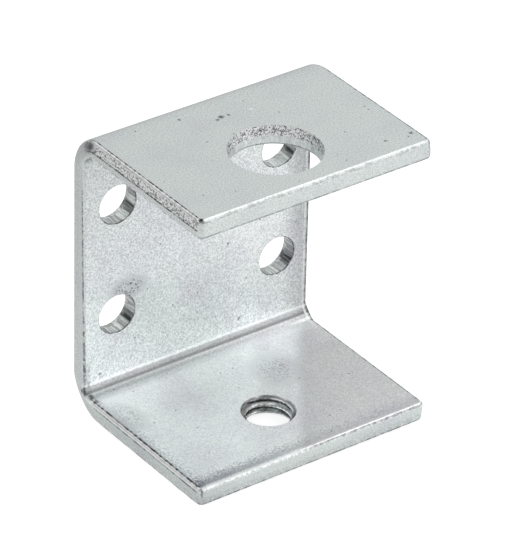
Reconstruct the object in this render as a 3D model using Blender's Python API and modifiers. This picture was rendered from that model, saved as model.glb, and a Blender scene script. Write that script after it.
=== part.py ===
"""Double angle bracket, folded from one blank of 3 mm zinc-plated steel strip.

A flat blank is cropped and punched first, with every tool coming from the side that ends up
inside the U, so each edge has a smooth land inside and a broken-out band that falls back
towards the outside. Tumbling rounds the cropped edges on both faces. The blank is then folded
along two lines into a web with two flanges. The sheet thins in the folds, and the metal squeezed inside them stands out at both
sides. The web takes four wood screws, the lower flange has an M8 thread, and the upper flange
has a clearance hole on the same axis.

Metres, +Z up. The lower flange rests on z = 0, with the origin in the middle of it, and the web
stands at the +Y side.
"""
from math import copysign, cos, pi, radians, sin

import bmesh
import bpy
from mathutils import Vector

# Strip and folds
WIDTH = 0.040
THICKNESS = 0.003
HEIGHT = 0.0465
LOWER_FLANGE_DEPTH = 0.032
UPPER_FLANGE_DEPTH = 0.031
INSIDE_BEND_RADIUS = 0.002
OUTSIDE_BEND_RADIUS = 0.006
BEND_BULGE = 0.0003
BEND_BULGE_SHARPNESS = 8
NEUTRAL_FIBRE_SHARE = 0.42
BEND_FACETS = 8

# Cropped edges of the blank
CORNER_RADIUS = 0.001
EDGE_RADIUS = 0.0005
BREAKOUT_SHARE = 0.6
BREAKOUT_SETBACK = 0.00015
CORNER_FACETS = 4
EDGE_FACETS = 3

# Four screw holes in the web
SCREW_HOLE_DIAMETER = 0.0062
SCREW_HOLE_BREAKOUT_DIAMETER = 0.0069
SCREW_HOLE_BREAKOUT_SHARE = 0.4
SCREW_HOLE_LIP = 0.0002
SCREW_HOLE_FROM_SIDE = 0.0058
SCREW_HOLE_FROM_BOTTOM = 0.015
SCREW_HOLE_FROM_TOP = 0.0131
SCREW_HOLE_FACETS = 40

# Clearance hole in the upper flange and threaded hole in the lower one
HOLE_AXIS_FROM_UPPER_TIP = 0.0101
CLEARANCE_HOLE_DIAMETER = 0.0131
CLEARANCE_HOLE_BREAKOUT_DIAMETER = 0.0137
CLEARANCE_HOLE_BREAKOUT_SHARE = 0.5
CLEARANCE_HOLE_LIP = 0.0004
CLEARANCE_HOLE_FACETS = 64
THREAD_MINOR_DIAMETER = 0.00665
THREADED_HOLE_BREAKOUT_DIAMETER = 0.0077
THREADED_HOLE_BREAKOUT_SHARE = 0.2
THREADED_HOLE_COUNTERSINK = 0.00075
THREADED_HOLE_FACETS = 48

# How far a cutter runs on past the faces that it opens, and how near a point lies on a line
OVERRUN = 0.001
SAME_PLACE = 0.000001

NEUTRAL_RADIUS = INSIDE_BEND_RADIUS + NEUTRAL_FIBRE_SHARE * THICKNESS
BEND_LENGTH = NEUTRAL_RADIUS * pi / 2
WEB_BACK = LOWER_FLANGE_DEPTH / 2
HOLE_AXIS_FROM_BACK = UPPER_FLANGE_DEPTH - HOLE_AXIS_FROM_UPPER_TIP

# Stations along the developed blank, from the lower flange's tip to the upper flange's tip
LOWER_BEND_START = LOWER_FLANGE_DEPTH - OUTSIDE_BEND_RADIUS
LOWER_BEND_END = LOWER_BEND_START + BEND_LENGTH
UPPER_BEND_START = LOWER_BEND_END + HEIGHT - 2 * OUTSIDE_BEND_RADIUS
UPPER_BEND_END = UPPER_BEND_START + BEND_LENGTH
BLANK_LENGTH = UPPER_BEND_END + UPPER_FLANGE_DEPTH - OUTSIDE_BEND_RADIUS


def collection(name):
    """A new collection in the scene."""
    made = bpy.data.collections.new(name)
    bpy.context.scene.collection.children.link(made)
    return made


def new_object(name, mesh, home):
    """An object for the mesh, linked to its collection."""
    made = bpy.data.objects.new(name, mesh)
    home.objects.link(made)
    return made


def zinc_plated_steel():
    """Bright zinc plating on cold-rolled steel: a pale, slightly cool satin metal."""
    material = bpy.data.materials.new("zinc_plated_steel")
    material.use_nodes = True
    shader = material.node_tree.nodes["Principled BSDF"]
    shader.inputs["Base Color"].default_value = (0.60, 0.62, 0.62, 1)
    shader.inputs["Metallic"].default_value = 1
    shader.inputs["Roughness"].default_value = 0.35
    return material


def score(work, place, direction):
    """Part the faces along a straight line, which leaves the shape as it is."""
    bmesh.ops.bisect_plane(
        work, geom=[*work.verts, *work.edges, *work.faces], dist=SAME_PLACE,
        plane_co=place, plane_no=direction,
    )


def rim_edges(work, height):
    """The edges where the blank's side walls meet its face at this height."""
    return [
        edge
        for edge in work.edges
        if all(abs(vertex.co.z - height) < SAME_PLACE for vertex in edge.verts)
        and edge.calc_face_angle(0) > pi / 4
    ]


def cropped_blank(home):
    """The flat strip: x across, y along the developed length, z from its outer face inwards."""
    work = bmesh.new()
    bmesh.ops.create_cube(work, size=1)
    bmesh.ops.scale(work, vec=(WIDTH, BLANK_LENGTH, THICKNESS), verts=work.verts)
    bmesh.ops.translate(work, vec=(0, 0, THICKNESS / 2), verts=work.verts)

    corners = [edge for edge in work.edges if edge.verts[0].co.xy == edge.verts[1].co.xy]
    bmesh.ops.bevel(
        work, geom=corners, offset=CORNER_RADIUS, segments=CORNER_FACETS, profile=0.5,
        affect="EDGES", clamp_overlap=True,
    )
    score(work, (0, 0, BREAKOUT_SHARE * THICKNESS), (0, 0, 1))
    set_back = (1 - 2 * BREAKOUT_SETBACK / WIDTH, 1 - 2 * BREAKOUT_SETBACK / BLANK_LENGTH, 1)
    outer_rim = [vertex for vertex in work.verts if vertex.co.z < SAME_PLACE]
    bmesh.ops.scale(work, vec=set_back, verts=outer_rim)
    bmesh.ops.bevel(
        work, geom=rim_edges(work, THICKNESS) + rim_edges(work, 0), offset=EDGE_RADIUS,
        segments=EDGE_FACETS, profile=0.5, affect="EDGES", clamp_overlap=True,
    )
    bmesh.ops.translate(work, vec=(0, BLANK_LENGTH / 2, 0), verts=work.verts)

    mesh = bpy.data.meshes.new("blank")
    work.to_mesh(mesh)
    work.free()
    return new_object("blank", mesh, home)


def punched_profile(diameter, breakout_diameter, breakout_share, lip, lip_facets=EDGE_FACETS):
    """Half section of a punched hole, top to bottom: lip, smooth land, breakout.

    The lip is a rounding, or a 90 degree countersink where it has a single facet.
    """
    radius = diameter / 2
    step = pi / 2 / lip_facets
    arc = [
        (radius + lip * (1 - cos(turn * step)), THICKNESS - lip * (1 - sin(turn * step)))
        for turn in range(lip_facets + 1)
    ]
    # The lip's last facet runs on past the face by its own length.
    arc[-1] = tuple(2 * end - before for end, before in zip(arc[-1], arc[-2]))
    breakout_depth = breakout_share * THICKNESS
    growth = (breakout_diameter / 2 - radius) / breakout_depth
    top = THICKNESS + OVERRUN
    return [
        (0, top), (arc[-1][0], top), *reversed(arc),
        (radius, breakout_depth), (radius + growth * (breakout_depth + OVERRUN), -OVERRUN),
        (0, -OVERRUN),
    ]


def turned_cutter(name, profile, facets, place, home):
    """A cutter turned about +Z from its half section, standing at its place in the blank."""
    mesh = bpy.data.meshes.new(name)
    points = [(radius, 0, height) for radius, height in profile]
    mesh.from_pydata(points, [(i, i + 1) for i in range(len(points) - 1)], [])
    cutter = new_object(name, mesh, home)
    cutter.location = (*place, 0)
    cutter.hide_render = True
    cutter.display_type = "WIRE"
    screw = cutter.modifiers.new("turned", "SCREW")
    screw.steps = facets
    screw.render_steps = facets
    screw.use_merge_vertices = True
    screw.merge_threshold = SAME_PLACE
    return cutter


def hole_places():
    """Where each hole's axis crosses the blank: across it, and along it from the lower tip."""
    places = {
        "clearance_hole": (0, BLANK_LENGTH - HOLE_AXIS_FROM_UPPER_TIP),
        "threaded_hole": (0, LOWER_FLANGE_DEPTH - HOLE_AXIS_FROM_BACK),
    }
    rows = {
        "lower": LOWER_BEND_END + SCREW_HOLE_FROM_BOTTOM - OUTSIDE_BEND_RADIUS,
        "upper": UPPER_BEND_START - SCREW_HOLE_FROM_TOP + OUTSIDE_BEND_RADIUS,
    }
    across = WIDTH / 2 - SCREW_HOLE_FROM_SIDE
    for row, along in rows.items():
        places[f"{row}_left_screw_hole"] = (-across, along)
        places[f"{row}_right_screw_hole"] = (across, along)
    return places


def punches(home):
    """A cutter for every hole, placed on the flat blank."""
    sections = {
        "clearance_hole": (CLEARANCE_HOLE_FACETS, punched_profile(
            CLEARANCE_HOLE_DIAMETER, CLEARANCE_HOLE_BREAKOUT_DIAMETER,
            CLEARANCE_HOLE_BREAKOUT_SHARE, CLEARANCE_HOLE_LIP,
        )),
        "threaded_hole": (THREADED_HOLE_FACETS, punched_profile(
            THREAD_MINOR_DIAMETER, THREADED_HOLE_BREAKOUT_DIAMETER,
            THREADED_HOLE_BREAKOUT_SHARE, THREADED_HOLE_COUNTERSINK, lip_facets=1,
        )),
        "screw_hole": (SCREW_HOLE_FACETS, punched_profile(
            SCREW_HOLE_DIAMETER, SCREW_HOLE_BREAKOUT_DIAMETER,
            SCREW_HOLE_BREAKOUT_SHARE, SCREW_HOLE_LIP,
        )),
    }
    cutters = []
    for name, place in hole_places().items():
        facets, profile = sections.get(name, sections["screw_hole"])
        cutters.append(turned_cutter(name, profile, facets, place, home))
    return cutters


def punched_mesh(blank, cutters):
    """The blank's mesh with every hole cut."""
    for cutter in cutters:
        cut = blank.modifiers.new(cutter.name, "BOOLEAN")
        cut.operation = "DIFFERENCE"
        cut.solver = "EXACT"
        cut.object = cutter
    graph = bpy.context.evaluated_depsgraph_get()
    return bpy.data.meshes.new_from_object(blank.evaluated_get(graph))


def in_bend(turn, inward):
    """A point in a bend, measured from the corner that the two outer faces would meet in.

    Every layer of the sheet has its own arc, tangent to that layer in both flats. The arcs'
    radii run evenly from the outside one to the inside one.
    """
    depth = inward / THICKNESS
    radius = OUTSIDE_BEND_RADIUS + depth * (INSIDE_BEND_RADIUS - OUTSIDE_BEND_RADIUS)
    centre = inward + radius
    return Vector((centre - radius * sin(turn), centre - radius * cos(turn)))


def folded(point):
    """A point of the flat blank, moved to where the two folds carry it."""
    across, along, inward = point
    turn = 0
    if along < LOWER_BEND_START - SAME_PLACE:
        back, height = LOWER_FLANGE_DEPTH - along, inward
    elif along < LOWER_BEND_END + SAME_PLACE:
        turn = (along - LOWER_BEND_START) / NEUTRAL_RADIUS
        back, height = in_bend(turn, inward)
    elif along < UPPER_BEND_START - SAME_PLACE:
        back, height = inward, OUTSIDE_BEND_RADIUS + along - LOWER_BEND_END
    elif along < UPPER_BEND_END + SAME_PLACE:
        turn = (along - UPPER_BEND_START) / NEUTRAL_RADIUS
        drop, back = in_bend(turn, inward)
        height = HEIGHT - drop
    else:
        back, height = OUTSIDE_BEND_RADIUS + along - UPPER_BEND_END, HEIGHT - inward
    squeezed = (2 * inward / THICKNESS - 1) * sin(2 * turn) * BEND_BULGE
    near_side = (2 * across / WIDTH) ** BEND_BULGE_SHARPNESS
    return Vector((across + copysign(near_side * squeezed, across), WEB_BACK - back, height))


def fold(mesh):
    """Part the punched blank into compact faces, with narrow ones across both bends, and fold it."""
    work = bmesh.new()
    work.from_mesh(mesh)
    for across in sorted({place[0] for place in hole_places().values()}):
        score(work, (across, 0, 0), (1, 0, 0))
    for along in sorted({place[1] for place in hole_places().values()}):
        score(work, (0, along, 0), (0, 1, 0))
    for start in (LOWER_BEND_START, UPPER_BEND_START):
        for facet in range(BEND_FACETS + 1):
            score(work, (0, start + facet * BEND_LENGTH / BEND_FACETS, 0), (0, 1, 0))
    for vertex in work.verts:
        vertex.co = folded(vertex.co)
    work.to_mesh(mesh)
    work.free()


def build():
    """Crop, punch and fold the bracket."""
    for old in list(bpy.data.objects):
        bpy.data.objects.remove(old)

    bracket_home = collection("double_angle_bracket")
    cutter_home = collection("cutters")

    blank = cropped_blank(cutter_home)
    cutters = punches(cutter_home)
    mesh = punched_mesh(blank, cutters)
    for tool in (blank, *cutters):
        bpy.data.objects.remove(tool)
    fold(mesh)

    mesh.name = "bracket"
    mesh.materials.clear()
    mesh.materials.append(zinc_plated_steel())
    mesh.shade_smooth()
    mesh.set_sharp_from_angle(angle=radians(30))
    bracket = new_object("bracket", mesh, bracket_home)
    bracket.modifiers.new("flats_lead_the_normals", "WEIGHTED_NORMAL").keep_sharp = True


build()
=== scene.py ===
"""Looks of the double angle bracket: the folded sheet as a fine mesh, its zinc plating, and a
plain studio round it."""

from math import cos, pi, radians, sin

import bmesh
import bpy
from mathutils import Matrix, Vector


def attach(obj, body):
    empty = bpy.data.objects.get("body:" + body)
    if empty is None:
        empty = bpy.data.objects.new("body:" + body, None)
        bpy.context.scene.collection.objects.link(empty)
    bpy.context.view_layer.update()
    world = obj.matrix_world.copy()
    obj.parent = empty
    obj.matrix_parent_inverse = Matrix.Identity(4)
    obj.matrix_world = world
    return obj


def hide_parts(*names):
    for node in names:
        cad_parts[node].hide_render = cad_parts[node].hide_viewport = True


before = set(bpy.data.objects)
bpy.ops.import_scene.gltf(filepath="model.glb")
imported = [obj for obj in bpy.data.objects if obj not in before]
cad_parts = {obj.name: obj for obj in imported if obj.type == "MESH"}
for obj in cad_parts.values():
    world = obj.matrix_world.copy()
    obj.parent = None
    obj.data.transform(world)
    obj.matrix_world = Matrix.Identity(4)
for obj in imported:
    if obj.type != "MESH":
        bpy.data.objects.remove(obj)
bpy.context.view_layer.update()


# Cropped blank
# The bracket starts as a flat piece of 3 mm cold-rolled steel strip. A cropping tool that comes
# from the later inside of the U shears a smooth land and tears the rest, so the outer part of
# every edge falls back a little. Tumbling then rounds the edges of both faces.

WIDTH = 0.040
THICKNESS = 0.003
HEIGHT = 0.0465
LOWER_FLANGE_DEPTH = 0.032
UPPER_FLANGE_DEPTH = 0.031
INSIDE_BEND_RADIUS = 0.002
OUTSIDE_BEND_RADIUS = 0.006
NEUTRAL_RADIUS = INSIDE_BEND_RADIUS + 0.42 * THICKNESS
BEND_LENGTH = NEUTRAL_RADIUS * pi / 2
LOWER_BEND_START = LOWER_FLANGE_DEPTH - OUTSIDE_BEND_RADIUS
LOWER_BEND_END = LOWER_BEND_START + BEND_LENGTH
UPPER_BEND_START = LOWER_BEND_END + HEIGHT - 2 * OUTSIDE_BEND_RADIUS
BLANK_LENGTH = UPPER_BEND_START + BEND_LENGTH + UPPER_FLANGE_DEPTH - OUTSIDE_BEND_RADIUS

CORNER_RADIUS = 0.001
EDGE_RADIUS = 0.0005
EDGE_BREAKOUT_SHARE = 0.6
EDGE_SETBACK = 0.00015

BEND_ROWS = 24
# The squeezed metal stands out only near the sides, so the mesh is finer there.
SIDE_COLUMNS = (0.0120, 0.0150, 0.0170, 0.0182, 0.0190)
LIP_ROWS = 8
NEAR = 0.000001


def score(work, place, direction):
    """Parts the faces along a straight line, so that they can bend there."""
    bmesh.ops.bisect_plane(
        work, geom=[*work.verts, *work.edges, *work.faces], dist=NEAR,
        plane_co=place, plane_no=direction,
    )


def rim(work, height):
    """The edges where the blank's walls meet its face at this height."""
    return [
        edge
        for edge in work.edges
        if all(abs(vertex.co.z - height) < NEAR for vertex in edge.verts)
        and edge.calc_face_angle(0) > pi / 4
    ]


work = bmesh.new()
bmesh.ops.create_cube(work, size=1)
bmesh.ops.scale(work, vec=(WIDTH, BLANK_LENGTH, THICKNESS), verts=work.verts)
bmesh.ops.translate(work, vec=(0, 0, THICKNESS / 2), verts=work.verts)
bmesh.ops.bevel(
    work, geom=[edge for edge in work.edges if edge.verts[0].co.xy == edge.verts[1].co.xy],
    offset=CORNER_RADIUS, segments=LIP_ROWS, profile=0.5, affect="EDGES", clamp_overlap=True,
)
score(work, (0, 0, EDGE_BREAKOUT_SHARE * THICKNESS), (0, 0, 1))
bmesh.ops.scale(
    work, vec=(1 - 2 * EDGE_SETBACK / WIDTH, 1 - 2 * EDGE_SETBACK / BLANK_LENGTH, 1),
    verts=[vertex for vertex in work.verts if vertex.co.z < NEAR],
)
bmesh.ops.bevel(
    work, geom=rim(work, THICKNESS) + rim(work, 0), offset=EDGE_RADIUS, segments=LIP_ROWS,
    profile=0.5, affect="EDGES", clamp_overlap=True,
)
bmesh.ops.translate(work, vec=(0, BLANK_LENGTH / 2, 0), verts=work.verts)
for start in (LOWER_BEND_START, UPPER_BEND_START):
    for row in range(BEND_ROWS + 1):
        score(work, (0, start + row * BEND_LENGTH / BEND_ROWS, 0), (0, 1, 0))
for column in SIDE_COLUMNS:
    for across in (-column, column):
        score(work, (across, 0, 0), (1, 0, 0))
blank = bpy.data.objects.new("blank", bpy.data.meshes.new("blank"))
work.to_mesh(blank.data)
work.free()
bpy.context.scene.collection.objects.link(blank)


# Punches and tap
# The four screw holes and the clearance hole are punched, each with a rolled-over mouth, a
# smooth land with drag marks and a torn, wider end. The hole in the lower flange is punched
# small and then tapped M8, with a 1.25 mm pitch.

SCREW_HOLE_FROM_SIDE = 0.0058
SCREW_HOLE_FROM_BOTTOM = 0.015
SCREW_HOLE_FROM_TOP = 0.0131
HOLE_AXIS_FROM_UPPER_TIP = 0.0101
TAP_ALONG = LOWER_FLANGE_DEPTH - (UPPER_FLANGE_DEPTH - HOLE_AXIS_FROM_UPPER_TIP)
CLEARANCE_ALONG = BLANK_LENGTH - HOLE_AXIS_FROM_UPPER_TIP
SCREW_HOLE = 0.0062
TORN_SCREW_HOLE = 0.0069
CLEARANCE_HOLE = 0.0131
TORN_CLEARANCE_HOLE = 0.0137
MINOR_DIAMETER = 0.00665
MAJOR_DIAMETER = 0.008
TORN_TAPPED_HOLE = 0.0077
PITCH = 0.00125
FIRST_CREST = 0.0002
OVERRUN = 0.001


def add(tree, kind, settings={}, inputs={}, output=0):
    """Adds a node, makes its settings, sets or links its inputs, and returns an output."""
    node = tree.nodes.new(kind)
    for name, value in settings.items():
        setattr(node, name, value)
    for key, value in inputs.items():
        if isinstance(value, bpy.types.NodeSocket):
            tree.links.new(value, node.inputs[key])
        elif isinstance(value, list):
            for source in value:
                tree.links.new(source, node.inputs[key])
        else:
            node.inputs[key].default_value = value
    return node.outputs[output] if node.outputs else None


def geometry_tree(name, values):
    """A new tree with a named input for every value; returns it with its inputs' sockets."""
    tree = bpy.data.node_groups.new(name, "GeometryNodeTree")
    tree.interface.new_socket("Geometry", in_out="OUTPUT", socket_type="NodeSocketGeometry")
    tree.interface.new_socket("Geometry", in_out="INPUT", socket_type="NodeSocketGeometry")
    kinds = {bpy.types.Object: "Object", bpy.types.Material: "Material"}
    for label, value in values.items():
        kind = kinds.get(type(value), "Float")
        tree.interface.new_socket(label, in_out="INPUT", socket_type=f"NodeSocket{kind}")
    return tree, tree.nodes.new("NodeGroupInput").outputs


def worked(piece, tree, values):
    """The plain mesh that a tree makes of a piece with these values."""
    modifier = piece.modifiers.new(tree.name, "NODES")
    modifier.node_group = tree
    for item in tree.interface.items_tree:
        if item.name in values:
            modifier[item.identifier] = values[item.name]
    graph = bpy.context.evaluated_depsgraph_get()
    mesh = bpy.data.meshes.new_from_object(piece.evaluated_get(graph))
    piece.modifiers.remove(modifier)
    return mesh


def punch(name, diameter, torn_diameter, torn_share, lip, facets, countersunk=False, levels=1):
    """A closed cutter turned from its half section: rounded or conical mouth, land, torn end."""
    radius, torn_depth, top = diameter / 2, torn_share * THICKNESS, THICKNESS + OVERRUN
    growth = (torn_diameter / 2 - radius) / torn_depth
    section = [(0, top), (radius + lip, top)]
    for step in range(LIP_ROWS, -1, -1):
        share = step / LIP_ROWS
        turn = share * pi / 2
        out, down = (share, 1 - share) if countersunk else (1 - cos(turn), 1 - sin(turn))
        section.append((radius + lip * out, THICKNESS - lip * down))
    land_end = THICKNESS - lip
    section += [
        (radius, land_end + (torn_depth - land_end) * level / levels)
        for level in range(1, levels + 1)
    ]
    torn_levels = max(1, levels // 3)
    section += [
        (radius + growth * torn_depth * level / torn_levels, torn_depth * (1 - level / torn_levels))
        for level in range(1, torn_levels + 1)
    ]
    section += [(radius + growth * (torn_depth + OVERRUN), -OVERRUN), (0, -OVERRUN)]
    mesh = bpy.data.meshes.new(name)
    mesh.from_pydata(
        [(out, 0, height) for out, height in section],
        [(i, i + 1) for i in range(len(section) - 1)], [],
    )
    tool = bpy.data.objects.new(name, mesh)
    bpy.context.scene.collection.objects.link(tool)
    turned = tool.modifiers.new("turned", "SCREW")
    turned.steps = turned.render_steps = facets
    turned.use_merge_vertices = True
    turned.merge_threshold = NEAR
    return tool


screw_punch = punch("screw_punch", SCREW_HOLE, TORN_SCREW_HOLE, torn_share=0.4, lip=0.0002,
                    facets=80)
clearance_punch = punch("clearance_punch", CLEARANCE_HOLE, TORN_CLEARANCE_HOLE, torn_share=0.5,
                        lip=0.0004, facets=144)
tap = punch("tap", MINOR_DIAMETER, TORN_TAPPED_HOLE, torn_share=0.2, lip=0.00075, facets=128,
            countersunk=True, levels=40)

zinc = bpy.data.materials.new("bright_zinc_plating")
thread_sizes = {
    "Minor Diameter": MINOR_DIAMETER, "Major Diameter": MAJOR_DIAMETER,
    "Pitch": PITCH, "First Crest": FIRST_CREST, "Plating": zinc,
}
thread, given = geometry_tree("cut_thread", thread_sizes)
place = add(thread, "GeometryNodeInputPosition")
parts = add(thread, "ShaderNodeSeparateXYZ", {}, {0: place}).node.outputs
angle = add(thread, "ShaderNodeMath", {"operation": "ARCTAN2"}, {0: parts["Y"], 1: parts["X"]})
rise = add(thread, "ShaderNodeMath", {"operation": "DIVIDE"}, {0: angle, 1: 2 * pi})
above = add(thread, "ShaderNodeMath", {"operation": "SUBTRACT"},
            {0: parts["Z"], 1: given["First Crest"]})
pitches = add(thread, "ShaderNodeMath", {"operation": "DIVIDE"}, {0: above, 1: given["Pitch"]})
turns = add(thread, "ShaderNodeMath", {"operation": "SUBTRACT"}, {0: pitches, 1: rise})
phase = add(thread, "ShaderNodeMath", {"operation": "FRACT"}, {0: turns})
centred = add(thread, "ShaderNodeMath", {"operation": "SUBTRACT"}, {0: phase, 1: 0.5})
from_root = add(thread, "ShaderNodeMath", {"operation": "ABSOLUTE"}, {0: centred})
# A metric thread's crest is a quarter of the pitch wide, and its root an eighth.
diameter = add(thread, "ShaderNodeMapRange", {}, {
    0: from_root, "From Min": 1 / 16, "From Max": 3 / 8,
    "To Min": given["Major Diameter"], "To Max": given["Minor Diameter"],
})
groove = add(thread, "ShaderNodeMath", {"operation": "MULTIPLY"}, {0: diameter, 1: 0.5})
flat = add(thread, "ShaderNodeCombineXYZ", {}, {"X": parts["X"], "Y": parts["Y"]})
radius = add(thread, "ShaderNodeVectorMath", {"operation": "LENGTH"}, {0: flat}, "Value")
wider = add(thread, "ShaderNodeMath", {"operation": "DIVIDE"}, {0: groove, 1: radius})
grown = add(thread, "ShaderNodeMath", {"operation": "MAXIMUM"}, {0: wider, 1: 1})
scaled = add(thread, "ShaderNodeCombineXYZ", {}, {"X": grown, "Y": grown, "Z": 1})
cut = add(thread, "ShaderNodeVectorMath", {"operation": "MULTIPLY"}, {0: place, 1: scaled})
inside = add(thread, "FunctionNodeCompare", {"operation": "GREATER_THAN"}, {0: radius, 1: NEAR})
moved = add(thread, "GeometryNodeSetPosition", {},
            {"Geometry": given["Geometry"], "Selection": inside, "Position": cut})
moved = add(thread, "GeometryNodeRealizeInstances", {}, {"Geometry": moved})
plated = add(thread, "GeometryNodeSetMaterial", {}, {
    "Geometry": moved, "Material": given["Plating"],
})
add(thread, "NodeGroupOutput", {}, {"Geometry": plated})
threaded = worked(tap, thread, thread_sizes)
tap.modifiers.clear()
tap.data = threaded


# Punched and folded sheet
# The punches go through the flat blank, and the blank is then folded along two lines into a web
# with two flanges. The outer fibre stretches, so the sheet thins there, and the inner one is
# squeezed, so it stands out a little at both sides.

# A hair under the solids' 0.3 mm, so that the finer mesh stays inside their box.
BEND_BULGE = 0.00028
BULGE_POWER = 9

fold_values = {
    "Screw Punch": screw_punch, "Clearance Punch": clearance_punch, "Tap": tap,
    "Width": WIDTH, "Thickness": THICKNESS, "Height": HEIGHT,
    "Inside Radius": INSIDE_BEND_RADIUS, "Outside Radius": OUTSIDE_BEND_RADIUS,
    "Neutral Radius": NEUTRAL_RADIUS, "Bend Length": BEND_LENGTH,
    "Bend Start": LOWER_BEND_START, "Web Middle": (LOWER_BEND_END + UPPER_BEND_START) / 2,
    "Web Back": LOWER_FLANGE_DEPTH / 2, "Bulge": BEND_BULGE,
    "Tap Along": TAP_ALONG, "Clearance Along": CLEARANCE_ALONG,
    "Screws Apart": WIDTH - 2 * SCREW_HOLE_FROM_SIDE,
    "Rows Apart": HEIGHT - SCREW_HOLE_FROM_TOP - SCREW_HOLE_FROM_BOTTOM,
    "Rows Along": LOWER_BEND_END - OUTSIDE_BEND_RADIUS
    + (HEIGHT - SCREW_HOLE_FROM_TOP + SCREW_HOLE_FROM_BOTTOM) / 2,
    "Plating": zinc,
}
fold, given = geometry_tree("punch_and_fold", fold_values)

corners = add(fold, "GeometryNodeMeshGrid", {}, {
    "Size X": given["Screws Apart"], "Size Y": given["Rows Apart"],
    "Vertices X": 2, "Vertices Y": 2,
})
rows = add(fold, "ShaderNodeCombineXYZ", {}, {"Y": given["Rows Along"]})
corners = add(fold, "GeometryNodeTransform", {}, {"Geometry": corners, "Translation": rows})
tool = add(fold, "GeometryNodeObjectInfo", {}, {"Object": given["Screw Punch"]}, "Geometry")
tools = [add(fold, "GeometryNodeInstanceOnPoints", {}, {"Points": corners, "Instance": tool})]
for label, along in (("Clearance Punch", "Clearance Along"), ("Tap", "Tap Along")):
    tool = add(fold, "GeometryNodeObjectInfo", {}, {"Object": given[label]}, "Geometry")
    spot = add(fold, "ShaderNodeCombineXYZ", {}, {"Y": given[along]})
    tools.append(
        add(fold, "GeometryNodeTransform", {}, {"Geometry": tool, "Translation": spot})
    )
tools = add(fold, "GeometryNodeJoinGeometry", {}, {"Geometry": tools})
tools = add(fold, "GeometryNodeRealizeInstances", {}, {"Geometry": tools})
punched = add(fold, "GeometryNodeMeshBoolean", {"operation": "DIFFERENCE", "solver": "EXACT"},
              {"Mesh 1": given["Geometry"], "Mesh 2": tools})

# The material reads where a point lay in the flat sheet, and how far its face leant from the
# sheet's plane: 1 inside, 0 on a sheared wall, below 0 where torn, -1 outside.
place = add(fold, "GeometryNodeInputPosition")
facing = add(fold, "GeometryNodeInputNormal")
lean = add(fold, "ShaderNodeSeparateXYZ", {}, {0: facing}, "Z")
stored = add(fold, "GeometryNodeStoreNamedAttribute",
             {"data_type": "FLOAT_VECTOR", "domain": "POINT"},
             {"Geometry": punched, "Name": "in_sheet", "Value": place})
stored = add(fold, "GeometryNodeStoreNamedAttribute",
             {"data_type": "FLOAT", "domain": "FACE"},
             {"Geometry": stored, "Name": "lean", "Value": lean})

parts = add(fold, "ShaderNodeSeparateXYZ", {}, {0: place}).node.outputs
across, along, inward = parts["X"], parts["Y"], parts["Z"]
from_middle = add(fold, "ShaderNodeMath", {"operation": "SUBTRACT"},
                  {0: along, 1: given["Web Middle"]})
reach = add(fold, "ShaderNodeMath", {"operation": "ABSOLUTE"}, {0: from_middle})
to_start = add(fold, "ShaderNodeMath", {"operation": "SUBTRACT"},
               {0: given["Web Middle"], 1: given["Bend Start"]})
past_start = add(fold, "ShaderNodeMath", {"operation": "SUBTRACT"}, {0: to_start, 1: reach})
turn = add(fold, "ShaderNodeMath", {"operation": "DIVIDE"},
           {0: past_start, 1: given["Neutral Radius"]})
turn = add(fold, "ShaderNodeClamp", {}, {"Value": turn, "Min": 0, "Max": pi / 2})
radius = add(fold, "ShaderNodeMapRange", {}, {
    0: inward, "From Max": given["Thickness"],
    "To Min": given["Outside Radius"], "To Max": given["Inside Radius"],
})
centre = add(fold, "ShaderNodeMath", {"operation": "ADD"}, {0: inward, 1: radius})
sine = add(fold, "ShaderNodeMath", {"operation": "SINE"}, {0: turn})
cosine = add(fold, "ShaderNodeMath", {"operation": "COSINE"}, {0: turn})
arc_x = add(fold, "ShaderNodeMath", {"operation": "MULTIPLY"}, {0: radius, 1: sine})
arc_y = add(fold, "ShaderNodeMath", {"operation": "MULTIPLY"}, {0: radius, 1: cosine})
arc_back = add(fold, "ShaderNodeMath", {"operation": "SUBTRACT"}, {0: centre, 1: arc_x})
arc_height = add(fold, "ShaderNodeMath", {"operation": "SUBTRACT"}, {0: centre, 1: arc_y})
past_end = add(fold, "ShaderNodeMath", {"operation": "SUBTRACT"},
               {0: past_start, 1: given["Bend Length"]})
flange_back = add(fold, "ShaderNodeMath", {"operation": "SUBTRACT"},
                  {0: given["Outside Radius"], 1: past_start})
web_height = add(fold, "ShaderNodeMath", {"operation": "ADD"},
                 {0: given["Outside Radius"], 1: past_end})
in_flange = add(fold, "FunctionNodeCompare", {"operation": "LESS_THAN"},
                {0: past_start, 1: -NEAR})
in_web = add(fold, "FunctionNodeCompare", {"operation": "GREATER_THAN"}, {0: past_end, 1: NEAR})
back = add(fold, "GeometryNodeSwitch", {"input_type": "FLOAT"},
           {"Switch": in_flange, "False": arc_back, "True": flange_back})
height = add(fold, "GeometryNodeSwitch", {"input_type": "FLOAT"},
             {"Switch": in_web, "False": arc_height, "True": web_height})
from_top = add(fold, "ShaderNodeMath", {"operation": "SUBTRACT"},
               {0: given["Height"], 1: height})
in_upper_half = add(fold, "FunctionNodeCompare", {"operation": "GREATER_THAN"},
                    {0: from_middle, 1: 0})
height = add(fold, "GeometryNodeSwitch", {"input_type": "FLOAT"},
             {"Switch": in_upper_half, "False": height, "True": from_top})
forward = add(fold, "ShaderNodeMath", {"operation": "SUBTRACT"},
              {0: given["Web Back"], 1: back})

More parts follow.
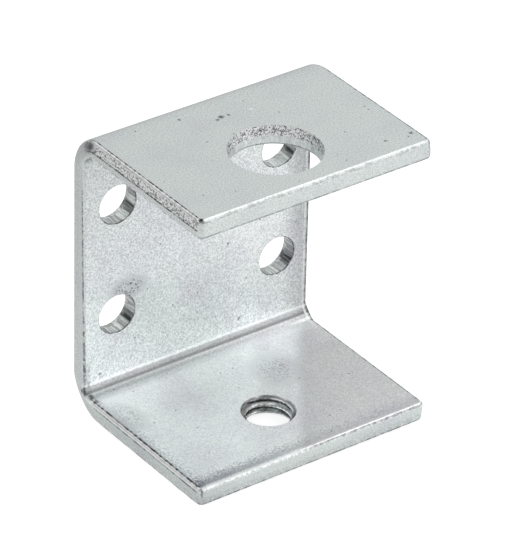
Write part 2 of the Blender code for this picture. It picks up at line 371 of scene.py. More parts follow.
double_turn = add(fold, "ShaderNodeMath", {"operation": "MULTIPLY"}, {0: turn, 1: 2})
squeeze = add(fold, "ShaderNodeMath", {"operation": "SINE"}, {0: double_turn})
fibre = add(fold, "ShaderNodeMapRange", {}, {
    0: inward, "From Max": given["Thickness"], "To Min": -1, "To Max": 1,
})
half_width = add(fold, "ShaderNodeMath", {"operation": "MULTIPLY"}, {0: given["Width"], 1: 0.5})
side = add(fold, "ShaderNodeMath", {"operation": "DIVIDE"}, {0: across, 1: half_width})
side = add(fold, "ShaderNodeMath", {"operation": "POWER"}, {0: side, 1: BULGE_POWER})
bulge = add(fold, "ShaderNodeMath", {"operation": "MULTIPLY"}, {0: side, 1: squeeze})
bulge = add(fold, "ShaderNodeMath", {"operation": "MULTIPLY"}, {0: bulge, 1: fibre})
across = add(fold, "ShaderNodeMath", {"operation": "MULTIPLY_ADD"},
             {0: bulge, 1: given["Bulge"], 2: across})
landed = add(fold, "ShaderNodeCombineXYZ", {}, {"X": across, "Y": forward, "Z": height})
folded = add(fold, "GeometryNodeSetPosition", {}, {"Geometry": stored, "Position": landed})
folded = add(fold, "GeometryNodeRealizeInstances", {}, {"Geometry": folded})
plated = add(fold, "GeometryNodeSetMaterial", {}, {
    "Geometry": folded, "Material": given["Plating"],
})
add(fold, "NodeGroupOutput", {}, {"Geometry": plated})

bracket = bpy.data.objects.new("folded_bracket", worked(blank, fold, fold_values))
bpy.context.scene.collection.objects.link(bracket)
for tool in (blank, screw_punch, clearance_punch, tap):
    bpy.data.objects.remove(tool)
bracket.data.name = "folded_bracket"
bracket.data.shade_smooth()
bracket.data.set_sharp_from_angle(angle=radians(32))
bracket.modifiers.new("flats_stay_flat", "WEIGHTED_NORMAL").keep_sharp = True


# Camera
# A long lens at the front left, 0.66 m away and 32 degrees up, as in the photograph. Its turns,
# distance and shift were fitted to the edges and hole rims that the photograph shows.

AZIMUTH = radians(-36.643)
ELEVATION = radians(32.048)
ROLL = radians(1.440)
DISTANCE = 0.65898
FOCAL_PIXELS = 4623.65
PICTURE_HEIGHT = 552
SENSOR = 36
AIM = Vector((0, 0.001, 0.023))
AIM_SHIFT = Vector((-0.00073, 0.00022))

back = Vector((
    sin(AZIMUTH) * cos(ELEVATION), -cos(AZIMUTH) * cos(ELEVATION), sin(ELEVATION),
))
right = Vector((cos(AZIMUTH), sin(AZIMUTH), 0))
up = back.cross(right)
right, up = cos(ROLL) * right + sin(ROLL) * up, cos(ROLL) * up - sin(ROLL) * right
eye = AIM + DISTANCE * back - AIM_SHIFT.x * right - AIM_SHIFT.y * up
lens = bpy.data.cameras.new("long_lens")
lens.sensor_fit = "VERTICAL"
lens.sensor_height = SENSOR
lens.lens = FOCAL_PIXELS * SENSOR / PICTURE_HEIGHT
camera = bpy.data.objects.new("camera", lens)
camera.matrix_world = Matrix.Translation(eye) @ Matrix((right, up, back)).transposed().to_4x4()
bpy.context.scene.collection.objects.link(camera)
bpy.context.scene.camera = camera


# Zinc plating
# Bright zinc on cold-rolled steel: a pale satin metal with a fine orange peel, small pits and
# faint clouds of cooler and warmer grey, since the passivation is uneven.

def srgb(code):
    """A colour of six hex digits as linear red, green, blue and alpha."""
    shares = [int(code[i:i + 2], 16) / 255 for i in (1, 3, 5)]
    return (
        *(s / 12.92 if s <= 0.04045 else ((s + 0.055) / 1.055) ** 2.4 for s in shares), 1,
    )


def stripe(source, start, end, soft):
    """1 where the source lies between start and end, and 0 past a soft border."""
    rise = add(tree, "ShaderNodeMapRange", {}, {
        0: source, "From Min": start - soft, "From Max": start,
    })
    drop = add(tree, "ShaderNodeMapRange", {}, {
        0: source, "From Min": end + soft, "From Max": end,
    })
    return add(tree, "ShaderNodeMath", {"operation": "MULTIPLY"}, {0: rise, 1: drop})


def strongest(rows):
    """The largest of several stripes, each times its masks and its strength."""
    largest = None
    for band, strength, masks in rows:
        for factor in (*masks, strength):
            band = add(tree, "ShaderNodeMath", {"operation": "MULTIPLY"}, {0: band, 1: factor})
        largest = band if largest is None else add(
            tree, "ShaderNodeMath", {"operation": "MAXIMUM"}, {0: largest, 1: band})
    return largest


MM = 0.001
CLOUD_SIZE = 8 * MM
GRAIN_SIZE = 0.22 * MM
PIT_SPACING = 2.2 * MM
DRAG_WIDTH = 0.5 * MM
TORN_GRAIN_SIZE = 0.6 * MM
BEAD_LENGTH = 0.7 * MM
TAP_RIDGE = 0.55 * MM
FRAY = 0.5 * MM
# The colour of the painted shade and painted dark reflections in the edge lines.
PAINTED_EDGE_SHADE = srgb("#34363A")

zinc.use_nodes = True
tree = zinc.node_tree
tree.nodes.clear()

# Masks tell the sheet's parts apart by where each point lay in it. Most have a soft border.
sheet = add(tree, "ShaderNodeAttribute", {"attribute_name": "in_sheet"}, {}, "Vector")
lean = add(tree, "ShaderNodeAttribute", {"attribute_name": "lean"}, {}, "Fac")
parts = add(tree, "ShaderNodeSeparateXYZ", {}, {0: sheet}).node.outputs
across = add(tree, "ShaderNodeMath", {"operation": "ABSOLUTE"}, {0: parts["X"]})
along, inward = parts["Y"], parts["Z"]

# Walls are faces that stand across the sheet. The torn ones lean outwards a little.
tilt = add(tree, "ShaderNodeMath", {"operation": "ABSOLUTE"}, {0: lean})
wall = add(tree, "ShaderNodeMapRange", {}, {
    0: tilt, "From Min": 0.3, "From Max": 0.6, "To Min": 1, "To Max": 0,
})
torn = add(tree, "ShaderNodeMapRange", {}, {0: lean, "From Min": -0.02, "From Max": -0.05})
torn = add(tree, "ShaderNodeMath", {"operation": "MULTIPLY"}, {0: torn, 1: wall})
from_tip = add(tree, "ShaderNodeMath", {"operation": "SUBTRACT"}, {0: BLANK_LENGTH, 1: along})
from_tip = add(tree, "ShaderNodeMath", {"operation": "MINIMUM"}, {0: along, 1: from_tip})
at_side = add(tree, "ShaderNodeMapRange", {}, {
    0: across, "From Min": WIDTH / 2 - 1.3 * MM, "From Max": WIDTH / 2 - 0.9 * MM,
})
off_corner = add(tree, "ShaderNodeMapRange", {}, {
    0: from_tip, "From Min": 0.6 * MM, "From Max": 0.9 * MM,
})
at_side = add(tree, "ShaderNodeMath", {"operation": "MULTIPLY"}, {0: at_side, 1: off_corner})
on_left = add(tree, "ShaderNodeMath", {"operation": "LESS_THAN"}, {0: parts["X"], 1: 0})
from_side = add(tree, "ShaderNodeMath", {"operation": "SUBTRACT"}, {0: WIDTH / 2, 1: across})
from_edge = add(tree, "ShaderNodeMath", {"operation": "MINIMUM"}, {0: from_tip, 1: from_side})
above = add(tree, "ShaderNodeMapRange", {}, {
    0: along, "From Min": UPPER_BEND_START - 6 * MM, "From Max": UPPER_BEND_START,
})
off_above = add(tree, "ShaderNodeMath", {"operation": "SUBTRACT"}, {0: 1, 1: above})
past_bend = add(tree, "ShaderNodeMapRange", {}, {
    0: along, "From Min": BLANK_LENGTH - 27 * MM, "From Max": BLANK_LENGTH - 26 * MM,
})
below = add(tree, "ShaderNodeMapRange", {}, {
    0: along, "From Min": LOWER_BEND_START, "From Max": LOWER_BEND_START - 2 * MM,
})
off_below = add(tree, "ShaderNodeMath", {"operation": "SUBTRACT"}, {0: 1, 1: below})
lower_part = add(tree, "ShaderNodeMapRange", {}, {
    0: along, "From Min": LOWER_BEND_END + 16 * MM, "From Max": LOWER_BEND_END,
})
WEB_HALF = (UPPER_BEND_START - LOWER_BEND_END) / 2
from_middle = add(tree, "ShaderNodeMath", {"operation": "SUBTRACT"},
                  {0: along, 1: LOWER_BEND_END + WEB_HALF})
from_middle = add(tree, "ShaderNodeMath", {"operation": "ABSOLUTE"}, {0: from_middle})
on_flange = add(tree, "ShaderNodeMapRange", {}, {
    0: from_middle, "From Min": WEB_HALF + BEND_LENGTH / 2, "From Max": WEB_HALF + BEND_LENGTH,
})

# The plating's colour drifts between a greenish and a violet grey over several millimetres.
cloud = add(tree, "ShaderNodeTexNoise", {}, {
    "Vector": sheet, "Scale": 1 / CLOUD_SIZE, "Detail": 4, "Roughness": 0.6,
})
cloud = add(tree, "ShaderNodeMapRange", {}, {0: cloud, "From Min": 0.46, "From Max": 0.68})
colour = add(tree, "ShaderNodeMix", {"data_type": "RGBA"}, {
    0: cloud, 6: srgb("#D8DFDD"), 7: srgb("#D2D6D8"),
}, 2)

# Crystal grain is finer than the picture shows, so it is drawn at 0.22 mm. It is plainest on the
# web's inside, where the tumbling did not rub it down.
grain = add(tree, "ShaderNodeTexNoise", {}, {
    "Vector": sheet, "Scale": 1 / GRAIN_SIZE, "Detail": 0, "Roughness": 0.5,
})
inside = add(tree, "ShaderNodeMapRange", {}, {0: inward, "From Min": 1 * MM, "From Max": 2 * MM})
inside_contrast = add(tree, "ShaderNodeMapRange", {}, {
    0: along, "From Min": LOWER_BEND_START, "From Max": LOWER_BEND_END,
    "To Min": 0.5, "To Max": 0.9,
})
contrast = add(tree, "ShaderNodeMix", {}, {0: inside, 2: 0.6, 3: inside_contrast})
contrast = add(tree, "ShaderNodeMix", {}, {0: wall, 2: contrast, 3: 0.6})
centred = add(tree, "ShaderNodeMath", {"operation": "SUBTRACT"}, {0: grain, 1: 0.5})
tone = add(tree, "ShaderNodeMath", {"operation": "MULTIPLY_ADD"}, {0: centred, 1: contrast, 2: 1})
colour = add(tree, "ShaderNodeVectorMath", {"operation": "SCALE"}, {0: colour, "Scale": tone})

# Inside the U the tone carries painted light: the web and the upper flange are painted lighter than
# the lower one, and the zinc there is a little less green. Both colour ramps here end in their own
# white stop. The painted light also changes sideways: each row of the second list says along what
# it is measured, where the change starts and ends in mm, its factor, and the sheet's part. The
# oblique ones follow a line on the lower flange from its right rear corner to the middle of its
# tip and paint the web's reflection there. The other rows paint lighter and darker bands of light
# and shade across the web and the upper flange.
painted_light_tone = add(tree, "ShaderNodeMapRange", {}, {0: along, "From Max": BLANK_LENGTH})
painted_light_tone = add(tree, "ShaderNodeValToRGB", {}, {0: painted_light_tone}, "Color")
ramp = painted_light_tone.node.color_ramp
for place, share, warmth in (
    (0.0, 0.84, 1.04), (0.2, 0.76, 1.04), (0.27, 0.90, 1.04), (0.34, 0.98, 1.02),
    (0.5, 1.18, 1.02), (0.6, 1.05, 1.02), (0.68, 0.9, 1.02),
):
    stop = ramp.elements[0] if place == 0 else ramp.elements.new(place)
    stop.color = (share * warmth, share, share * 1.015, 1)
higher = add(tree, "ShaderNodeMath", {"operation": "SUBTRACT"}, {0: 1, 1: lower_part})
# The line on the lower flange where the web's painted reflection ends.
web_reflection_line = add(tree, "ShaderNodeMath", {"operation": "MULTIPLY_ADD"}, {
    0: along, 1: -0.74, 2: parts["X"],
})
for source, near, far, share, mask in (
    (parts["X"], 3, 9, 1.16, off_below), (parts["X"], 15.5, 18.5, 0.78, off_below),
    (web_reflection_line, -9, -5, 1.1, below), (web_reflection_line, -3.4, -1.4, 0.78, below),
    (parts["X"], -4, -13, 1.14, lower_part),
    (parts["X"], 6, 12, 0.88, higher), (parts["X"], 14.5, 17, 0.82, higher),
):
    painted_side_light = add(tree, "ShaderNodeMapRange", {}, {
        0: source, "From Min": near * MM, "From Max": far * MM, "To Min": 1, "To Max": share,
    })
    painted_side_light = add(tree, "ShaderNodeMix", {}, {0: mask, 2: 1.0, 3: painted_side_light})
    painted_light_tone = add(tree, "ShaderNodeVectorMath", {"operation": "SCALE"},
                 {0: painted_light_tone, "Scale": painted_side_light})
on_inner_face = add(tree, "ShaderNodeMath", {"operation": "SUBTRACT"}, {0: inside, 1: wall})
painted_light_tone = add(tree, "ShaderNodeMix", {"data_type": "RGBA"},
             {0: on_inner_face, 6: (1, 1, 1, 1), 7: painted_light_tone}, 2)
colour = add(tree, "ShaderNodeVectorMath", {"operation": "MULTIPLY"}, {0: colour, 1: painted_light_tone})

# Pits in the plating: a dot of 0.1 to 0.3 mm here and there.
cells = add(tree, "ShaderNodeTexVoronoi", {"voronoi_dimensions": "2D"},
            {"Vector": sheet, "Scale": 1 / PIT_SPACING})
cell_parts = add(tree, "ShaderNodeSeparateColor", {}, {0: cells.node.outputs["Color"]})
reach = add(tree, "ShaderNodeMapRange", {}, {
    0: cell_parts, "From Min": 0.82, "From Max": 0.96, "To Min": 0, "To Max": 0.065,
})
depth = add(tree, "ShaderNodeMath", {"operation": "SUBTRACT"}, {0: reach, 1: cells})
pits = add(tree, "ShaderNodeMapRange", {}, {0: depth, "From Min": 0, "From Max": 0.02})
unwalled = add(tree, "ShaderNodeMath", {"operation": "SUBTRACT"}, {0: 1, 1: wall})
pits = add(tree, "ShaderNodeMath", {"operation": "MULTIPLY"}, {0: pits, 1: unwalled})
colour = add(tree, "ShaderNodeMix", {"data_type": "RGBA"},
             {0: pits, 6: colour, 7: srgb("#626468")}, 2)

# A haze of fine violet grey runs inside the lower flange's left and front edges.
from_left = add(tree, "ShaderNodeMath", {"operation": "ADD"}, {0: parts["X"], 1: WIDTH / 2})
haze = None
leftwards = add(tree, "ShaderNodeMapRange", {}, {
    0: parts["X"], "From Min": 2 * MM, "From Max": -14 * MM, "To Min": 0.25, "To Max": 0.75,
})
for source, start, near, far, share in (
    (from_left, 0, 0.4, 1.9, 0.42), (along, 0.9, 1.4, 3.0, leftwards),
):
    frayed = add(tree, "ShaderNodeMath", {"operation": "MULTIPLY_ADD"},
                 {0: centred, 1: 2.5 * MM, 2: source})
    band = add(tree, "ShaderNodeMapRange", {}, {
        0: frayed, "From Min": near * MM, "From Max": far * MM, "To Min": share, "To Max": 0,
    })
    started = add(tree, "ShaderNodeMapRange", {}, {
        0: source, "From Min": (start - 0.4) * MM, "From Max": start * MM,
    })
    band = add(tree, "ShaderNodeMath", {"operation": "MULTIPLY"}, {0: band, 1: started})
    haze = band if haze is None else add(
        tree, "ShaderNodeMath", {"operation": "ADD", "use_clamp": True}, {0: haze, 1: band})
on_face = add(tree, "ShaderNodeMapRange", {}, {0: lean, "From Min": 0.75, "From Max": 0.95})
for share in (below, on_face):
    haze = add(tree, "ShaderNodeMath", {"operation": "MULTIPLY"}, {0: haze, 1: share})
colour = add(tree, "ShaderNodeMix", {"data_type": "RGBA"},
             {0: haze, 6: colour, 7: srgb("#7A7A82")}, 2)

# Inside the lower bend the tone carries painted light: a painted highlight where the bend meets
# the web, then grey, and painted shade that is darkest in the middle of the fold. A share of 0.75
# leaves the tone as it is.
PLAIN = 0.75
through = add(tree, "ShaderNodeMapRange", {}, {
    0: from_middle, "From Min": WEB_HALF - BEND_LENGTH / 9, "From Max": WEB_HALF + BEND_LENGTH,
})
painted_bend_light = add(tree, "ShaderNodeValToRGB", {}, {0: through}, "Color")
ramp = painted_bend_light.node.color_ramp
for place, share in (
    (0.0, 0.75), (0.10, 0.75), (0.15, 0.88), (0.23, 1.0), (0.27, 0.64), (0.33, 0.44),
    (0.40, 0.42), (0.46, 0.30), (0.52, 0.24), (0.55, 0.25), (0.58, 0.45), (0.61, 0.68),
    (0.66, 0.78), (0.75, 0.78),
):
    stop = ramp.elements[0] if place == 0 else ramp.elements.new(place)
    stop.color = (share, share, share, 1)
in_fold = add(tree, "ShaderNodeMapRange", {}, {
    0: inward, "From Min": 2.4 * MM, "From Max": 2.8 * MM,
})
in_lower_half = add(tree, "ShaderNodeMath", {"operation": "LESS_THAN"}, {
    0: along, 1: LOWER_BEND_END + WEB_HALF,
})
in_fold = add(tree, "ShaderNodeMath", {"operation": "MULTIPLY"}, {0: in_fold, 1: in_lower_half})
painted_bend_light = add(tree, "ShaderNodeMix", {"data_type": "RGBA"},
           {0: in_fold, 6: (PLAIN, PLAIN, PLAIN, 1), 7: painted_bend_light}, 2)
painted_bend_light = add(tree, "ShaderNodeVectorMath", {"operation": "SCALE"}, {0: painted_bend_light, "Scale": 1 / PLAIN})
colour = add(tree, "ShaderNodeMix", {"data_type": "RGBA", "blend_type": "MULTIPLY"},
             {0: 1.0, 6: colour, 7: painted_bend_light}, 2)

# Drag marks run through the sheet on the holes' sheared walls, and are faint in the clearance
# hole.
stretch = add(tree, "ShaderNodeVectorMath", {"operation": "MULTIPLY"}, {0: sheet, 1: (1, 1, 0.06)})
drag = add(tree, "ShaderNodeTexNoise", {}, {
    "Vector": stretch, "Scale": 1 / DRAG_WIDTH, "Detail": 2, "Roughness": 0.7,
})
in_hole = add(tree, "ShaderNodeMapRange", {}, {
    0: from_edge, "From Min": 1 * MM, "From Max": 1.5 * MM,
})
plainness = add(tree, "ShaderNodeMapRange", {}, {0: above, "To Min": 1, "To Max": 0.25})
dragged = add(tree, "ShaderNodeMath", {"operation": "MULTIPLY"}, {0: wall, 1: in_hole})
dragged = add(tree, "ShaderNodeMath", {"operation": "MULTIPLY"}, {0: dragged, 1: plainness})
streak = add(tree, "ShaderNodeMapRange", {}, {
    0: drag, "From Min": 0.38, "From Max": 0.62, "To Min": 0.45, "To Max": 1.25,
})
streak = add(tree, "ShaderNodeMix", {}, {0: dragged, 2: 1.0, 3: streak})
colour = add(tree, "ShaderNodeVectorMath", {"operation": "SCALE"}, {0: colour, "Scale": streak})

# A painted dark reflection: a dark strip on the lower right wall of every screw hole, found by
# which way the wall faces and broken up by the drag marks.
facing = add(tree, "ShaderNodeNewGeometry", {}, {}, "Normal")
facing = add(tree, "ShaderNodeSeparateXYZ", {}, {0: facing}).node.outputs
painted_dark_reflection = stripe(facing["Z"], 0.42, 0.64, 0.14)
faces_left = add(tree, "ShaderNodeMath", {"operation": "LESS_THAN"}, {0: facing["X"], 1: 0})
rough_drag = add(tree, "ShaderNodeMapRange", {}, {
    0: drag, "From Min": 0.62, "From Max": 0.45, "To Min": 0.45, "To Max": 0.95,
})
for share in (faces_left, dragged, rough_drag):
    painted_dark_reflection = add(tree, "ShaderNodeMath", {"operation": "MULTIPLY"}, {0: painted_dark_reflection, 1: share})
colour = add(tree, "ShaderNodeMix", {"data_type": "RGBA"},
             {0: painted_dark_reflection, 6: colour, 7: srgb("#4A4C50")}, 2)

# Torn metal shows worm-like dark grains: plainly along the upper flange's sides and round the
# clearance hole, and faintly elsewhere.
to_hole = add(tree, "ShaderNodeVectorMath", {"operation": "DISTANCE"}, {
    0: sheet, 1: (0, CLEARANCE_ALONG, THICKNESS / 4),
}, "Value")
round_hole = add(tree, "ShaderNodeMath", {"operation": "LESS_THAN"}, {0: to_hole, 1: 8 * MM})
at_upper_side = add(tree, "ShaderNodeMath", {"operation": "MULTIPLY"}, {0: at_side, 1: past_bend})
coarse = add(tree, "ShaderNodeMath", {"operation": "MAXIMUM"}, {0: at_upper_side, 1: round_hole})
coarse = add(tree, "ShaderNodeMapRange", {}, {0: coarse, "To Min": 0.12, "To Max": 1})
torn = add(tree, "ShaderNodeMath", {"operation": "MULTIPLY"}, {0: torn, 1: coarse})
crumbs = add(tree, "ShaderNodeTexNoise", {}, {
    "Vector": sheet, "Scale": 1 / TORN_GRAIN_SIZE, "Detail": 2, "Roughness": 0.6,
})
worms = add(tree, "ShaderNodeMath", {"operation": "SUBTRACT"}, {0: crumbs, 1: 0.5})
worms = add(tree, "ShaderNodeMath", {"operation": "ABSOLUTE"}, {0: worms})
speckle = add(tree, "ShaderNodeMapRange", {}, {0: worms, "From Min": 0.008, "From Max": 0.05})
speckled = add(tree, "ShaderNodeMix", {"data_type": "RGBA"}, {
    0: speckle, 6: srgb("#46484C"), 7: srgb("#EEF0F0"),
}, 2)
colour = add(tree, "ShaderNodeMix", {"data_type": "RGBA"}, {0: torn, 6: colour, 7: speckled}, 2)

# Beaded dark lines: painted dark reflections and painted shade along the rounded lips, the hole
# mouths, the tips and the edges that face down, and partly dark seams where the land meets the torn
# metal.
on_right = add(tree, "ShaderNodeMath", {"operation": "SUBTRACT"}, {0: 1, 1: on_left})
at_tip = add(tree, "ShaderNodeMapRange", {}, {
    0: from_tip, "From Min": 1.3 * MM, "From Max": 0.9 * MM,
})
on_web = add(tree, "ShaderNodeMath", {"operation": "MULTIPLY"}, {0: off_below, 1: off_above})
slanted = add(tree, "ShaderNodeMath", {"operation": "MULTIPLY_ADD"},
              {0: along, 1: 0.0123, 2: inward})
painted_edge_lines = strongest((
    # The sides of the flanges, where the land meets the torn metal or the lip.
    (stripe(inward, 1.60 * MM, 1.72 * MM, 0.1 * MM), 1, (wall, at_upper_side)),
    (stripe(inward, 2.6 * MM, 2.78 * MM, 0.06 * MM), 0.8, (at_side, past_bend)),
    (stripe(inward, 2.32 * MM, 2.42 * MM, 0.1 * MM), 1, (at_side, below)),
    # The web's left side.
    (stripe(slanted, 3.2 * MM, 3.36 * MM, 0.08 * MM), 0.75, (at_side, on_left, on_web)),
    # The rounded lips of the sides, and the inside face beside them.
    (stripe(tilt, 0.9, 0.996, 0.002), 1, (at_side, on_left, on_flange)),
    (stripe(from_side, 0.42 * MM, 0.6 * MM, 0.08 * MM), 0.8, (inside, on_left, below)),
    (stripe(tilt, 0.8, 0.996, 0.002), 0.8, (at_side, on_right)),
    (stripe(from_side, 0.2 * MM, 0.6 * MM, 0.1 * MM), 0.3, (inside, on_right, on_web)),
    # The mouths of the screw holes and the clearance hole.
    (stripe(lean, 0.15, 0.9, 0.05), 0.8, (in_hole, off_below)),
    # The tips, and the edges that face down.
    (stripe(lean, 0.05, 0.85, 0.05), 0.5, (at_tip, above)),
    (stripe(lean, -0.97, -0.15, 0.02), 0.75, (below,)),
    (stripe(inward, 0.3 * MM, 1.2 * MM, 0.3 * MM), 0.14, (at_tip, below)),
    (stripe(tilt, 0.2, 0.72, 0.1), 0.4, (at_tip,)),
    (stripe(lean, 0.45, 0.8, 0.01), 0.6, (at_tip, below, on_right)),
))
beads = add(tree, "ShaderNodeTexNoise", {}, {
    "Vector": sheet, "Scale": 1 / BEAD_LENGTH, "Detail": 1, "Roughness": 0.5,
})
beaded = add(tree, "ShaderNodeMapRange", {}, {
    0: beads, "From Min": 0.42, "From Max": 0.58, "To Min": 1, "To Max": 0.35,
})
painted_edge_lines = add(tree, "ShaderNodeMath", {"operation": "MULTIPLY"}, {0: painted_edge_lines, 1: beaded})
# Mix in the edge lines' painted shade and painted dark reflections.
colour = add(tree, "ShaderNodeMix", {"data_type": "RGBA"}, {0: painted_edge_lines, 6: colour, 7: PAINTED_EDGE_SHADE}, 2)

# A painted highlight runs in a broken bright line along the lips at the flanges' left sides and
# tips and at the web's right side.
highlight_breaks = add(tree, "ShaderNodeMapRange", {}, {
    0: beads, "From Min": 0.42, "From Max": 0.5, "To Min": 0.3, "To Max": 1,
})
painted_lip_highlights = strongest((
    (stripe(tilt, 0.25, 0.89, 0.01), 1, (at_side, on_left, on_flange)),
    (stripe(lean, 0.86, 0.97, 0.005), 1, (at_tip, below)),
    (stripe(lean, -0.9, -0.75, 0.02), 0.8, (at_tip, above)),
    (stripe(from_side, 0.7 * MM, 0.92 * MM, 0.1 * MM), 0.45, (inside, on_right, on_web)),
))
painted_lip_highlights = add(tree, "ShaderNodeMath", {"operation": "MULTIPLY"}, {0: painted_lip_highlights, 1: highlight_breaks})
colour = add(tree, "ShaderNodeMix", {"data_type": "RGBA"},
             {0: painted_lip_highlights, 6: colour, 7: srgb("#FFFFFF")}, 2)

# In the thread the roots get painted shade and the crests a painted highlight, with fine ridges
# from the tap round both. The side near the web gets more painted shade.
on_axis = add(tree, "ShaderNodeCombineXYZ", {}, {"X": 0, "Y": TAP_ALONG, "Z": inward})
to_axis = add(tree, "ShaderNodeVectorMath", {"operation": "DISTANCE"},
              {0: sheet, 1: on_axis}, "Value")
in_thread = add(tree, "ShaderNodeMath", {"operation": "LESS_THAN"}, {0: to_axis, 1: 4.06 * MM})
root = add(tree, "ShaderNodeMapRange", {}, {
    0: to_axis, "From Min": 3.45 * MM, "From Max": 3.9 * MM, "To Min": 1.5, "To Max": 0.7,
})
wave = add(tree, "ShaderNodeTexWave", {"bands_direction": "Z"}, {
    "Vector": sheet, "Scale": 2 * pi / 20 / TAP_RIDGE, "Distortion": 2.5, "Detail": 1,
    "Detail Scale": 1.2,
}, "Fac")
wave = add(tree, "ShaderNodeMapRange", {}, {0: wave, "To Min": 0.5, "To Max": 1.4})
painted_far_side_shade = add(tree, "ShaderNodeMapRange", {}, {
    0: along, "From Min": 13 * MM, "From Max": 14 * MM, "To Min": 1, "To Max": 0.6,
})
for share in (wave, painted_far_side_shade):
    root = add(tree, "ShaderNodeMath", {"operation": "MULTIPLY"}, {0: root, 1: share})
root = add(tree, "ShaderNodeMix", {}, {0: in_thread, 2: 1.0, 3: root})
colour = add(tree, "ShaderNodeVectorMath", {"operation": "SCALE"}, {0: colour, "Scale": root})

# Marks from handling: where they lie in the flat sheet and how far they reach, in mm, and their
# colour. The grain frays their borders.
wobble = add(tree, "ShaderNodeVectorMath", {"operation": "SCALE"},
             {0: grain.node.outputs["Color"], "Scale": FRAY})
frayed = add(tree, "ShaderNodeVectorMath", {"operation": "ADD"}, {0: sheet, 1: wobble})
for at, reach, shade in (
    ((-1.0, 74.0, 0), 0.55, "#6A6C70"), ((-1.9, 74.4, 0), 0.4, "#85878B"),
    ((0.2, 74.1, 0), 0.3, "#85878B"), ((-6.4, 71.4, 0), 0.3, "#8A8C90"),
    ((3.8, 74.5, 0), 0.35, "#F4F6F6"), ((14.2, 92.2, 0), 0.35, "#77797D"),
    ((18.5, 92.4, 0), 0.4, "#77797D"), ((-17.2, 31.8, 3), 0.3, "#5A5C60"),
    ((-19.4, 95.1, 0.1), 0.45, "#3E4044"), ((-20, 69.6, 0.9), 1.2, "#A0A2A6"),
    ((-20, 69.8, 0.9), 0.6, "#6A6C70"), ((-20, 29.4, 2.35), 0.5, "#4A4C50"),
    ((5.3, 45.3, 3), 0.3, "#85878B"), ((7.5, 32.4, 3), 0.35, "#8E9094"),
):
    middle = tuple(length * MM + FRAY / 2 for length in at)
    away = add(tree, "ShaderNodeVectorMath", {"operation": "DISTANCE"},
               {0: frayed, 1: middle}, "Value")
    mark = add(tree, "ShaderNodeMapRange", {}, {
        0: away, "From Min": reach * MM, "From Max": 0.4 * reach * MM,
    })
    colour = add(tree, "ShaderNodeMix", {"data_type": "RGBA"},
                 {0: mark, 6: colour, 7: srgb(shade)}, 2)

# Patches of dark grains: above the lower left screw hole, behind the threaded hole, at the lower
# flange's left side, and at the left end of the upper fold. Each row has the middle in mm, how
# much narrower than 8 mm the patch is along each axis of the sheet, and its strength.
dark_grain = add(tree, "ShaderNodeMapRange", {}, {0: grain, "From Min": 0.5, "From Max": 0.62})
for centre, squeeze, share in (
    ((-12.3, 43.9, 3), (1, 1.8, 1), 1), ((7.2, 18.9, 3), (0.9, 0.8, 1), 0.6),
    ((-17.6, 20.5, 3), (1.4, 0.8, 1), 0.6), ((-20, 69.6, 1), (2.6, 2.6, 2.6), 1),
):
    offset = add(tree, "ShaderNodeVectorMath", {"operation": "SUBTRACT"},
                 {0: sheet, 1: tuple(length * MM for length in centre)})
    offset = add(tree, "ShaderNodeVectorMath", {"operation": "MULTIPLY"}, {0: offset, 1: squeeze})
    away = add(tree, "ShaderNodeVectorMath", {"operation": "LENGTH"}, {0: offset}, "Value")
    patch = add(tree, "ShaderNodeMapRange", {}, {
        0: away, "From Min": 4 * MM, "From Max": 1.5 * MM, "To Max": share,
    })
    patch = add(tree, "ShaderNodeMath", {"operation": "MULTIPLY"}, {0: patch, 1: dark_grain})
    colour = add(tree, "ShaderNodeMix", {"data_type": "RGBA"},
                 {0: patch, 6: colour, 7: srgb("#7C7E82")}, 2)

# Satin gloss, rougher where torn and smoother in the thread. The orange peel, the drag marks and
# the torn grains are shallow bumps.
roughness = add(tree, "ShaderNodeMapRange", {}, {0: cloud, "To Min": 0.33, "To Max": 0.38})
roughness = add(tree, "ShaderNodeMath", {"operation": "MULTIPLY_ADD"},
                {0: torn, 1: 0.15, 2: roughness})
roughness = add(tree, "ShaderNodeMath", {"operation": "MULTIPLY_ADD"},
                {0: in_thread, 1: -0.12, 2: roughness})
peel = add(tree, "ShaderNodeBump", {}, {"Height": grain, "Distance": 0.015 * MM, "Strength": 1})
ridges = add(tree, "ShaderNodeBump", {}, {
    "Height": drag, "Distance": 0.05 * MM, "Strength": dragged, "Normal": peel,
})
crumbled = add(tree, "ShaderNodeBump", {}, {
    "Height": crumbs, "Distance": 0.1 * MM, "Strength": torn, "Normal": ridges,
})
metal = add(tree, "ShaderNodeBsdfPrincipled", {}, {
    "Base Color": colour, "Metallic": 1, "Roughness": roughness, "Normal": crumbled,
})
add(tree, "ShaderNodeOutputMaterial", {}, {"Surface": metal})
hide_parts("bracket")
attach(bracket, "root")


# Floor
# A plain white sweep of paper. It looks white to the camera and in the metal, and keeps the
# bracket's soft shadow.

HALF_FLOOR = 1.5
PAPER_GLOW = 0.75
MIRRORED_GLOW = 0.52
MIRRORED_GLOW_BEHIND = 0.1

floor_mesh = bpy.data.meshes.new("floor")
floor_mesh.from_pydata(
    [(-HALF_FLOOR, -HALF_FLOOR, 0), (HALF_FLOOR, -HALF_FLOOR, 0),
     (HALF_FLOOR, HALF_FLOOR, 0), (-HALF_FLOOR, HALF_FLOOR, 0)], [], [(0, 1, 2, 3)],
)
floor = bpy.data.objects.new("floor", floor_mesh)
bpy.context.scene.collection.objects.link(floor)
paper = bpy.data.materials.new("white_paper")
paper.use_nodes = True
tree = paper.node_tree
tree.nodes.clear()
rays = add(tree, "ShaderNodeLightPath").node.outputs
seen = add(tree, "ShaderNodeMath", {"operation": "MAXIMUM"},
           {0: rays["Is Glossy Ray"], 1: rays["Is Transmission Ray"]})
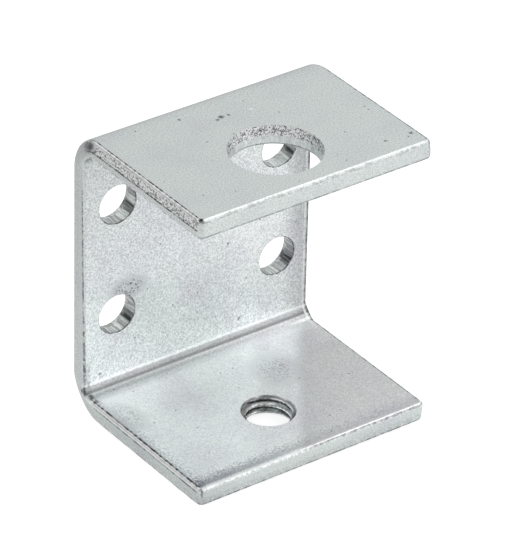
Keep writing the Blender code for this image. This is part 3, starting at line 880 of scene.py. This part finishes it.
# The metal shows the paper dim behind the bracket and a little dimmer to its left.
place = add(tree, "ShaderNodeTexCoord", {}, {}, "Object")
forward = add(tree, "ShaderNodeVectorMath", {"operation": "DOT_PRODUCT"},
              {0: place, 1: (-0.5, -0.85, 0)}, "Value")
fall = add(tree, "ShaderNodeMapRange", {}, {
    0: forward, "From Min": -0.075, "From Max": 0,
    "To Min": MIRRORED_GLOW_BEHIND, "To Max": MIRRORED_GLOW,
})
leftwards = add(tree, "ShaderNodeMapRange", {}, {
    0: add(tree, "ShaderNodeSeparateXYZ", {}, {0: place}, "X"),
    "From Min": -0.020, "From Max": -0.010, "To Min": 0.75, "To Max": 1,
})
strength = add(tree, "ShaderNodeMath", {"operation": "MULTIPLY"}, {0: seen, 1: fall})
strength = add(tree, "ShaderNodeMath", {"operation": "MULTIPLY"}, {0: strength, 1: leftwards})
strength = add(tree, "ShaderNodeMix", {}, {0: rays["Is Camera Ray"], 2: strength, 3: PAPER_GLOW})
lit = add(tree, "ShaderNodeBsdfDiffuse", {}, {"Color": srgb("#BCBCBC")})
glow = add(tree, "ShaderNodeEmission", {}, {"Color": (1, 1, 1, 1), "Strength": strength})
both = add(tree, "ShaderNodeAddShader", {}, {0: lit, 1: glow})
add(tree, "ShaderNodeOutputMaterial", {}, {"Surface": both})
floor_mesh.materials.append(paper)


# Light
# Soft light from all round but for one black flag, with a large window box at the front right
# and a smaller one overhead.

SURROUND_STRENGTH = 0.76
FLAG_STRENGTH = 0.25
LAMP_DISTANCE = 0.8

world = bpy.data.worlds.new("studio")
bpy.context.scene.world = world
world.use_nodes = True
tree = world.node_tree
tree.nodes.clear()
towards = add(tree, "ShaderNodeTexCoord", {}, {}, "Generated")
# The metal shows the black flag as a dark line along its rounded left edges and in the holes.
along = add(tree, "ShaderNodeVectorMath", {"operation": "DOT_PRODUCT"},
            {0: towards, 1: Vector((-0.65, 0.68, 0.34)).normalized()}, "Value")
flag = add(tree, "ShaderNodeMapRange", {"interpolation_type": "SMOOTHSTEP"}, {
    0: along, "From Min": cos(radians(22)), "From Max": cos(radians(10)),
    "To Min": SURROUND_STRENGTH, "To Max": FLAG_STRENGTH,
})
seen = add(tree, "ShaderNodeLightPath", {}, {}, "Is Camera Ray")
strength = add(tree, "ShaderNodeMix", {}, {0: seen, 2: flag, 3: 1.0})
surround = add(tree, "ShaderNodeBackground", {}, {"Color": (1, 1, 1, 1), "Strength": strength})
add(tree, "ShaderNodeOutputWorld", {}, {"Surface": surround})

for name, towards, size, watts in (
    ("window_box", (0.50, -0.74, 0.46), 0.9, 1.65),
    ("overhead_box", (0.50, 0.24, 0.83), 0.35, 0.45),
):
    box = bpy.data.lights.new(name, "AREA")
    box.size = size
    box.energy = watts
    lamp = bpy.data.objects.new(name, box)
    lamp.location = AIM + LAMP_DISTANCE * Vector(towards).normalized()
    lamp.rotation_euler = Vector(towards).to_track_quat("Z", "Y").to_euler()
    bpy.context.scene.collection.objects.link(lamp)

bpy.context.scene.view_settings.view_transform = "Standard"
